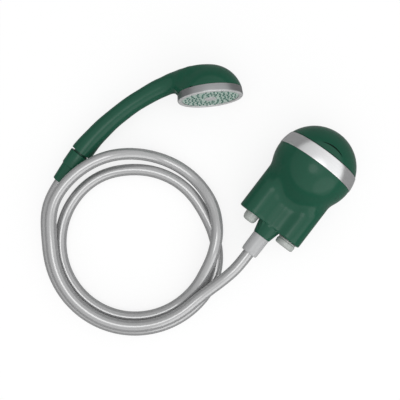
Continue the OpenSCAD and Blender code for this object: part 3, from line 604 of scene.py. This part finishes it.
# silver band, open where the flat back cuts it
band = {"outer": 40.9, "inner": 39.7, "low": 1.1, "high": 14.4, "edge": 0.45, "cuts": 14, "steps": 160}


def bandPiece():
    def onBall(r, w):
        return math.sqrt(r * r - w * w)

    levels = [band["low"] + (band["high"] - band["low"]) * k / band["cuts"] for k in range(band["cuts"] + 1)]
    ends = (levels[0], levels[-1])
    outer = [(onBall(band["outer"], w), w, band["edge"] if w in ends else 0) for w in levels]
    inner = [(onBall(band["inner"], w), w, 0) for w in reversed(levels)]
    bm = bmesh.new()
    turnedShape(bm, outer + inner, pumpFrame, band["steps"])
    everything = list(bm.verts) + list(bm.edges) + list(bm.faces)
    bmesh.ops.bisect_plane(bm, geom=everything, plane_co=(0, 0, 0), plane_no=(0, 0, -1), clear_outer=True)
    fillHoles(bm)
    dress(asObject(bm, "silver_band"), "set", "silver_trim", ["trim_band"])


bandPiece()
print("band made")

# domed intake cover with thumb nick, intake slots and its inner ring
cover = {"low": 14.85, "wall": 2.5, "edge": 0.6, "columns": 176, "sharp": 38.0, "tipR": 0.02,
         "outerTop": 89.2, "outerRows": 34, "innerTop": 88.0, "innerRows": 16,
         "ringIn": 20.6, "ringOut": 22.6, "ringSoft": 0.4, "ringInto": 0.6,
         "slots": 6, "slotW": 2.6, "slotIn": 7.0, "slotOut": 16.0, "slotSides": 24, "slotTall": 30.0,
         "slotMid": 43.0, "nickR": 22.6, "nickHalf": 33.0, "nickW": 1.4, "nickD": 1.3, "nickCuts": 40,
         "nickTall": 12.0}
coverInner = pump["ball"] - cover["wall"]
nickFloor = math.sqrt(pump["ball"] ** 2 - cover["nickR"] ** 2) - cover["nickD"]
# where the faces of the nick lie, in mm, and the darker green painted on them as shade inside the groove
nickPaintedShade = {"half": 13.0, "low": 18.0, "high": 22.9, "slack": 0.1, "skin": 0.2, "gloss": 0.5, "shine": 0.1,
             "dark": (0.003, 0.018, 0.011), "light": (0.004, 0.023, 0.014)}


def coverRows(way):
    def row(r, lat, back):
        return r * math.sin(lat), np.minimum(r * math.cos(lat), toBack(way, back))

    outerR, edge, back = pump["ball"], cover["edge"], pump["axisHigh"]
    first = math.asin(cover["low"] / outerR)
    outside = np.linspace(first + 2 * edge / outerR, math.radians(cover["outerTop"]), cover["outerRows"])
    last = math.asin(cover["low"] / coverInner)
    inside = np.linspace(math.radians(cover["innerTop"]), last, cover["innerRows"])
    rows = [row(outerR, first + edge / outerR, back)]
    rows += [row(outerR, lat, back) for lat in outside]
    rows += [(r, np.full(len(way), cover["tipR"])) for r in (outerR, coverInner)]
    rows += [row(coverInner, lat, back - cover["wall"]) for lat in inside]
    rows.append((cover["low"], row(outerR, first, back)[1] - edge))
    return rows


def slotCutter(k):
    # a slot with round ends, in the back half
    bm = bmesh.new()
    r = cover["slotW"] / 2
    bmesh.ops.create_cone(bm, cap_ends=True, segments=cover["slotSides"], radius1=r, radius2=r,
                          depth=cover["slotTall"])
    far = [v for v in bm.verts if v.co.x > 1e-4]
    near = [v for v in bm.verts if v.co.x <= 1e-4]
    bmesh.ops.translate(bm, vec=(cover["slotOut"], 0, 0), verts=far)
    bmesh.ops.translate(bm, vec=(cover["slotIn"], 0, 0), verts=near)
    angle = (k + 0.5) * 180 / cover["slots"]
    spot = pumpFrame @ turned(angle, "Z") @ Matrix.Translation((0, 0, cover["slotMid"]))
    bmesh.ops.transform(bm, matrix=Matrix.Scale(mm, 4) @ spot, verts=bm.verts)
    return asObject(bm, "slotCutter%d" % k)


def nickCutter():
    # a crescent between two arcs, on the front
    half, r, wide = math.radians(cover["nickHalf"]), cover["nickR"], cover["nickW"]
    chord, rise = r * math.sin(half), r - wide - r * math.cos(half)
    innerR = (chord * chord + rise * rise) / (2 * rise)
    innerHalf = math.asin(chord / innerR)
    innerMid = r - wide - innerR
    outerTurns = np.linspace(-half, half, cover["nickCuts"])
    innerTurns = np.linspace(innerHalf, -innerHalf, cover["nickCuts"])[1:-1]
    line = [(r * math.sin(a), r * math.cos(a)) for a in outerTurns]
    line += [(innerR * math.sin(a), innerMid + innerR * math.cos(a)) for a in innerTurns]
    bm = bmesh.new()
    low = (pump["axisHigh"] + nickFloor) * mm
    face = bm.faces.new([bm.verts.new((x * mm, y * mm, low)) for x, y in line])
    grown = bmesh.ops.extrude_face_region(bm, geom=[face])["geom"]
    upper = [v for v in grown if isinstance(v, bmesh.types.BMVert)]
    bmesh.ops.translate(bm, vec=(0, 0, cover["nickTall"] * mm), verts=upper)
    fillHoles(bm)
    return asObject(bm, "nickCutter")


def paintNickShade(piece):
    look = nickPaintedShade
    piece.data.materials.append(mouldedPlastic("nickPaintedShade", look["dark"], look["light"], look["gloss"], 0.0,
                                               look["shine"]))
    half, low, high = (look[side] * mm for side in ("half", "low", "high"))
    lowest = (pump["axisHigh"] + nickFloor - look["slack"]) * mm
    skin = (pump["ball"] - look["skin"]) * mm
    middle = Vector((0, 0, pump["axisHigh"] * mm))
    # painted shade: faces inside the nick, below the ball's skin, take the darker green in place of the
    # groove's shade
    for face in piece.data.polygons:
        spot = face.center
        if abs(spot.x) < half and low < spot.y < high and spot.z > lowest:
            face.material_index = int((spot - middle).length < skin)


def coverPiece():
    way = pumpSpokes(cover["columns"])
    piece = asObject(ringGrid(pumpRows(coverRows(way), way), True), "intake_dome")
    carve(piece, [slotCutter(k) for k in range(cover["slots"])] + [nickCutter()])
    bm = bmesh.new()
    bm.from_mesh(piece.data)
    ringTop = math.sqrt(coverInner ** 2 - cover["ringOut"] ** 2) + cover["ringInto"]
    turnedShape(bm, [(cover["ringIn"], cover["low"], cover["ringSoft"]),
                     (cover["ringOut"], cover["low"], cover["ringSoft"]),
                     (cover["ringOut"], ringTop, 0), (cover["ringIn"], ringTop, 0)], pumpFrame)
    bm.to_mesh(piece.data)
    bm.free()
    dress(piece, "cover", "green_plastic", ["intake_cover"], cover["sharp"])
    paintNickShade(piece)


coverPiece()
print("cover made")

# turned pieces on the pump; each corner is (r, z, rounding)
sleeve = {"r": 8.5, "topR": 8.7, "len": 20.3, "hoseHole": 5.86, "barbHole": 4.05, "floor": 1.5}
sleeveFrame = pumpFrame @ Matrix.Translation((0, 0, -pump["columnEnd"] - sleeve["len"]))
sleeveFloor = sleeve["len"] - sleeve["floor"]
turnedPiece("sleeve",
            [(sleeve["hoseHole"], 0, 0.4), (sleeve["r"] - 0.5, 0, 0.9), (sleeve["r"], 2.6, 0.6),
             (sleeve["r"] + 0.1, 9, 0), (sleeve["topR"], sleeve["len"], 0.5),
             (sleeve["barbHole"], sleeve["len"], 0), (sleeve["barbHole"], sleeveFloor, 0),
             (sleeve["hoseHole"], sleeveFloor, 0)],
            sleeveFrame, "set", "grey_sleeve", ["hose_sleeve"])

button = {"r": 7.0, "out": -79.5, "flangeLow": -67.9, "flangeR": 8.8, "flangeT": 1.3}
buttonFrame = pumpFrame @ Matrix.Translation((-pump["legX"], 0, 0))
flangeTop = button["flangeLow"] + button["flangeT"]
turnedPiece("button",
            [(0, button["out"] + 0.25, 0), (3.2, button["out"] + 0.2, 1.5), (5.6, button["out"] + 0.9, 1.6),
             (6.8, button["out"] + 3.4, 2.2), (button["r"], button["out"] + 6.2, 0),
             (button["r"], button["flangeLow"], 0), (button["flangeR"], button["flangeLow"], 0.2),
             (button["flangeR"], flangeTop, 0.2), (0, flangeTop, 0)],
            buttonFrame, "button", "pale_plastic", ["power_button"], closed=False)

port = {"r": 9.9, "top": -71.35, "low": -78.6, "plugR": 6.45, "plugTop": -66.6}
portFrame = pumpFrame @ Matrix.Translation((pump["portX"], 0, 0))
turnedPiece("port_cap",
            [(0, port["low"] + 0.1, 0), (port["r"] - 1.6, port["low"], 0.8),
             (port["r"] - 0.15, port["low"] + 1.0, 0.9), (port["r"], port["top"] - 2.0, 0.5),
             (port["r"] - 0.7, port["top"] - 1.5, 0.3), (port["r"] - 0.7, port["top"] - 0.9, 0.3),
             (port["r"] - 0.05, port["top"] - 0.5, 0.3), (port["r"] - 0.3, port["top"], 0.2),
             (port["plugR"], port["top"], 0), (port["plugR"], port["plugTop"] - 0.6, 0.3),
             (port["plugR"] - 0.8, port["plugTop"], 0.2), (0, port["plugTop"], 0)],
            portFrame, "port_cover", "pale_plastic", ["charge_cover"], closed=False)
print("sleeve, button and port cap turned")

# handset: head dome and handle in one flowing skin
grip = {"domeR": 31.593, "domeMid": -1.707, "rimR": 31.0, "rim": -7.8, "columns": 112, "flatColumns": 34,
        "samples": 200, "sharp": 40.0,
        "join": 3.0, "neck": 6.0, "neckRun": (12.0, 18.0), "shoulder": 9.0, "shoulderSide": (5.0, 10.0),
        "shoulderRun": (-4.0, 20.0), "headEnd": 2.0, "headSlope": 0.2, "headEase": 5.0, "flatTo": 36.0,
        "frontTurns": (2.5, 20.0, 8), "domeTurns": (24.0, 90.0, 18), "handleFrom": 0.6, "handleRows": 62,
        "leaveRun": (8.0, 24.0), "domeTo": 30.0, "shiftTo": 32.0, "leastHalf": 2.0, "corner": 32.0,
        # share of the sweep, half height, half width, shift off the arc
        "rows": [(0, 7.6, 17, -3), (0.09, 8.6, 16.5, -2.6), (0.15, 9.2, 14, -3), (0.22, 9.6, 11, -2.4),
                 (0.31, 9.4, 9.4, -1.8), (0.48, 8.9, 8.9, -0.9), (0.66, 9, 9, -0.2), (0.84, 9.7, 9.7, 0),
                 (1, 10.8, 10.8, 0)],
        # distance past the handle's end, radius: rim, spigot and waterway
        "tail": [(-0.15, 10.65), (0.0, 10.2), (0.0, 7.2), (9.6, 7.2), (9.6, 4.5), (1.6, 4.5)]}


def gripSize(share, column):
    rows = np.array(grip["rows"], float)
    k = np.clip(np.searchsorted(rows[:, 0], share) - 1, 0, len(rows) - 2)
    t = eased(ramp(share, rows[k, 0], rows[k + 1, 0] - rows[k, 0]))
    return rows[k, column] + (rows[k + 1, column] - rows[k, column]) * t


def gripGap(p):
    x, y, z = p[..., 0], p[..., 1], p[..., 2]
    middle = -hand["back"] + hand["arc"]
    turn = np.degrees(np.arctan2(x, middle - z))
    share = np.clip(turn / hand["sweep"], 0, 1)
    rise = np.sqrt(x * x + (z - middle) ** 2) - hand["arc"] + gripSize(share, 3)
    tall, wide = gripSize(share, 1), gripSize(share, 2)
    k0 = np.sqrt((rise / tall) ** 2 + (y / wide) ** 2)
    k1 = np.sqrt((rise / tall ** 2) ** 2 + (y / wide ** 2) ** 2) + 1e-6
    handle = trim(k0 * (k0 - 1) / k1, -grip["headSlope"] * (x - grip["headEnd"]), grip["headEase"])
    dome = np.sqrt(x * x + y * y + (z - grip["domeMid"]) ** 2) - grip["domeR"]
    neck = ramp(x, *grip["neckRun"])
    shoulder = ramp(np.abs(y), *grip["shoulderSide"]) * ramp(x, *grip["shoulderRun"])
    skin = meet(dome, handle, grip["join"] + grip["shoulder"] * shoulder + grip["neck"] * neck)
    return np.maximum(skin, np.where(x < grip["flatTo"], z - grip["rim"], -1.0))


def gripSpokes(up, corner):
    # over the back from one rim corner to the other, then across the flat underside
    flat = grip["flatColumns"]
    over = np.linspace(corner, -math.pi - corner, grip["columns"] - flat + 1)
    under = np.linspace(-math.pi - corner, -2 * math.pi + corner, flat + 1)[1:-1]
    turns = np.concatenate((over, under))
    return np.cos(turns)[:, None] * np.array((0.0, 1.0, 0.0)) + np.sin(turns)[:, None] * np.array(up)


def gripSection(centre, up, corner):
    way = gripSpokes(up, corner)
    reach = reachOut(gripGap, np.tile(centre, (len(way), 1)), way, samples=grip["samples"])
    return centre + way * reach[:, None]


def domeMiddle(x):  # halfway between the rim and the top of the dome
    return 0.5 * (grip["rim"] + grip["domeMid"] - math.sqrt(grip["domeR"] ** 2 - x * x))


def headRows():
    rows = []
    turns = np.concatenate((np.linspace(*grip["frontTurns"]), np.linspace(*grip["domeTurns"])))
    for x in -grip["rimR"] * np.cos(np.radians(turns)):
        z = domeMiddle(x)
        half = math.sqrt(grip["rimR"] ** 2 - x * x)
        rows.append(gripSection(np.array((x, 0, z)), (0, 0, 1), math.atan2(grip["rim"] - z, half)))
    return rows


def handleRows():
    rows = []
    for degrees in np.linspace(grip["handleFrom"], hand["sweep"], grip["handleRows"]):
        axis = arcPoint(degrees)
        a = math.radians(degrees)
        up = np.array((-math.sin(a), 0, math.cos(a)))
        ease = eased(ramp(axis.x, *grip["leaveRun"]))
        shift = 0.0
        if axis.x < grip["shiftTo"]:
            shift = (domeMiddle(min(axis.x, grip["domeTo"])) - axis.z) * (1 - ease)
        centre = np.array(axis) + up * shift
        level = (grip["rim"] - centre[2]) / up[2]
        half = math.sqrt(max(grip["rimR"] ** 2 - centre[0] ** 2, grip["leastHalf"] ** 2))
        corner = math.atan2(level, half) * (1 - ease) + math.radians(grip["corner"]) * ease
        rows.append(gripSection(centre, up, corner))
    return rows


def tailRows():
    a = math.radians(hand["sweep"])
    end = np.array(arcPoint(hand["sweep"]))
    out = np.array((math.cos(a), 0, math.sin(a)))
    spokes = gripSpokes((-math.sin(a), 0, math.cos(a)), math.radians(grip["corner"]))
    return [end + out * past + spokes * r for past, r in grip["tail"]]


def gripPiece():
    place = np.array(headFrame)
    rows = headRows() + handleRows() + tailRows()
    bm = ringGrid([row @ place[:3, :3].T + place[:3, 3] for row in rows], False)
    fillHoles(bm)
    dress(asObject(bm, "handset_skin"), "set", "green_plastic", ["handset_shell"], grip["sharp"])


gripPiece()
print("handset skin made")

# turned pieces on the handset
bezel = {"face": 27.2, "r": 31.5, "backR": 31.0, "backIn": 29.4, "h": 7.75, "plate": -1.2, "seat": -2.9,
         "steps": 144}
turnedPiece("bezel",
            [(bezel["face"], bezel["plate"], 0.2), (bezel["face"] + 0.15, -0.75, 0.4),
             (bezel["face"] + 0.9, -0.05, 0.5), (bezel["r"] - 1.0, 0, 0.8), (bezel["r"], -1.1, 0.8),
             (bezel["backR"], -bezel["h"], 0.3), (bezel["backIn"], -bezel["h"], 0),
             (bezel["backIn"], bezel["seat"], 0), (bezel["face"], bezel["seat"], 0)],
            headFrame, "set", "satin_trim", ["bezel_ring"], steps=bezel["steps"])

nut = {"bore": 7.26, "gap": 2.0, "topR": 10.4, "stepR": 9.4, "tipR": 7.6, "step": 18.0, "low": 36.0,
       "hoseHole": 6.0, "shoulder": 14.0}
turnedPiece("nut",
            [(nut["bore"], nut["gap"], 0.2), (nut["topR"], nut["gap"], 0.9),
             (nut["stepR"] + 0.35, nut["step"] - 0.4, 0.35), (nut["stepR"] - 0.4, nut["step"] + 0.1, 0.25),
             (nut["tipR"], nut["low"], 0.9), (nut["hoseHole"], nut["low"], 0.3),
             (nut["hoseHole"], nut["shoulder"], 0), (nut["bore"], nut["shoulder"], 0)],
            tailFrame, "nut", "green_plastic", ["coupling_nut"])

cap = {"r": 6.0, "low": -1.2, "high": -0.1}
turnedPiece("middle_cap",
            [(0, cap["high"], 0), (cap["r"] - 1.2, cap["high"] - 0.05, 0.6),
             (cap["r"], cap["high"] - 0.6, 0.4), (cap["r"], cap["low"], 0), (0, cap["low"], 0)],
            headFrame, "set", "satin_trim", ["centre_cap"], closed=False)
print("bezel, nut and cap turned")

# spray face: plate, and a soft mat whose nozzles stand in curved rows
spray = {"plateR": 27.1, "plateTop": -1.2, "plateLow": -3.0, "plateSoft": 0.25, "screwHole": 2.0,
         "matR": 26.5, "matTop": -3.05, "matLow": -5.05, "matSoft": 0.3, "rows": 20,
         # radius of each ring, and how far it is turned on
         "rings": [(24.2, 0.0), (20.9, 7.0), (17.6, 14.0), (14.3, 21.0)], "innerCount": 10, "innerR": 10.4,
         "rootR": 1.0, "rootIn": 0.5, "tipR": 0.78, "holeR": 0.36, "holeDeep": 0.7, "out": 1.0, "sides": 10}


def nozzle(bm, place):
    low, high = spray["matTop"] - spray["rootIn"], spray["plateTop"] + spray["out"]
    verts = bmesh.ops.create_cone(bm, cap_ends=True, segments=spray["sides"], radius1=spray["rootR"],
                                  radius2=spray["tipR"], depth=high - low)["verts"]
    ends = {f for v in verts for f in v.link_faces if len(f.verts) == spray["sides"]}
    tip = max(ends, key=lambda f: f.calc_center_median().z)
    bmesh.ops.inset_individual(bm, faces=[tip], thickness=spray["tipR"] - spray["holeR"])
    bmesh.ops.translate(bm, vec=(0, 0, -spray["holeDeep"]), verts=tip.verts)
    lifted = place @ Matrix.Translation((0, 0, (low + high) / 2))
    bmesh.ops.transform(bm, matrix=Matrix.Scale(mm, 4) @ lifted, verts=verts + list(tip.verts))


def nozzleMat():
    bm = bmesh.new()
    turnedShape(bm, [(spray["screwHole"], spray["matTop"], 0),
                     (spray["matR"], spray["matTop"], spray["matSoft"]),
                     (spray["matR"], spray["matLow"], spray["matSoft"]),
                     (spray["screwHole"], spray["matLow"], 0)], headFrame)
    rows, inner = spray["rows"], spray["innerCount"]
    spots = [(r, twist + 360 * k / rows) for r, twist in spray["rings"] for k in range(rows)]
    spots += [(spray["innerR"], 360 * (k + 0.5) / inner) for k in range(inner)]
    for r, angle in spots:
        nozzle(bm, headFrame @ turned(angle, "Z") @ Matrix.Translation((r, 0, 0)))
    dress(asObject(bm, "nozzle_tips"), "set", "green_rubber", ["nozzle_mat"])
    print("spray face made, nozzles:", len(spots))


turnedPiece("spray_face",
            [(spray["screwHole"], spray["plateTop"], 0),
             (spray["plateR"], spray["plateTop"], spray["plateSoft"]),
             (spray["plateR"], spray["plateLow"], 0), (spray["screwHole"], spray["plateLow"], 0)],
            headFrame, "set", "mint_plastic", ["spray_plate"])
nozzleMat()

# pale floor: brighter to the camera, dimmer in reflections
floorLook = {"tone": 0.96, "rough": 0.9, "lift": 0.80, "mirrored": 0.27, "size": 3.0, "drop": 0.0004}
white = (1, 1, 1, 1)
bm = bmesh.new()
bmesh.ops.create_grid(bm, x_segments=1, y_segments=1, size=floorLook["size"])
bmesh.ops.translate(bm, vec=(0, 0, -floorLook["drop"]), verts=bm.verts)
floorMesh = bpy.data.meshes.new("floor")
bm.to_mesh(floorMesh)
bm.free()
floor = bpy.data.objects.new("floor", floorMesh)
scene.collection.objects.link(floor)
paper = Finish("palePaper")
paper.done({"Base Color": (floorLook["tone"],) * 3 + (1,), "Roughness": floorLook["rough"],
            "Specular IOR Level": 0.0})
glow = paper.add("ShaderNodeEmission", {}, {"Color": white, "Strength": 1.0})
dim = paper.add("ShaderNodeEmission", {}, {"Color": white, "Strength": floorLook["mirrored"]})
seen = paper.add("ShaderNodeLightPath", out="Is Camera Ray") * floorLook["lift"]
mirrored = paper.add("ShaderNodeLightPath", out="Is Glossy Ray")
lifted = paper.add("ShaderNodeMixShader", {}, {0: seen, 1: Wire(paper, paper.surface.outputs[0]), 2: glow})
mixed = paper.add("ShaderNodeMixShader", {}, {0: mirrored, 1: lifted, 2: dim})
paper.tree.links.new(mixed.socket, paper.tree.nodes["Material Output"].inputs["Surface"])
floorMesh.materials.append(paper.data)

# soft dome of light, white to the camera
skyLook = {"overhead": 0.93, "low": 0.2, "edge": (0.23, 0.31), "tilt": 0.30, "zenith": 0.65,
           "glow": (0.88, 1.0)}
sky = bpy.data.worlds.new("softDome")
scene.world = sky
dome = Finish("softDome", sky)
upward = dome.add("ShaderNodeTexCoord", out="Generated")
across, height = dome.part(upward, 0), dome.part(upward, 2)
overhead = across * skyLook["tilt"] + (skyLook["overhead"] - skyLook["low"])
tone = dome.stops(height, *skyLook["edge"]) * overhead + skyLook["low"]
tone = tone + dome.stops(height, *skyLook["glow"]) * skyLook["zenith"]
looked = dome.add("ShaderNodeLightPath", out="Is Camera Ray")
dome.plug(dome.tree.nodes["Background"], {"Color": white, "Strength": tone * (1 - looked) + looked})

lamps = {"key": {"at": (-0.095, -0.175, 0.95), "aim": (-0.094, -0.164, 0.0), "size": 0.4, "watts": 0.6},
         "side": {"at": (0.75, -0.45, 0.55), "aim": (-0.07, -0.10, 0.0), "size": 1.0, "watts": 1.7}}
for name, look in lamps.items():
    light = bpy.data.lights.new(name, "AREA")
    light.shape, light.size, light.energy = "DISK", look["size"], look["watts"]
    holder = bpy.data.objects.new(name, light)
    holder.location = look["at"]
    holder.rotation_euler = (Vector(look["aim"]) - Vector(look["at"])).to_track_quat("-Z", "Y").to_euler()
    scene.collection.objects.link(holder)
print("floor and light set")
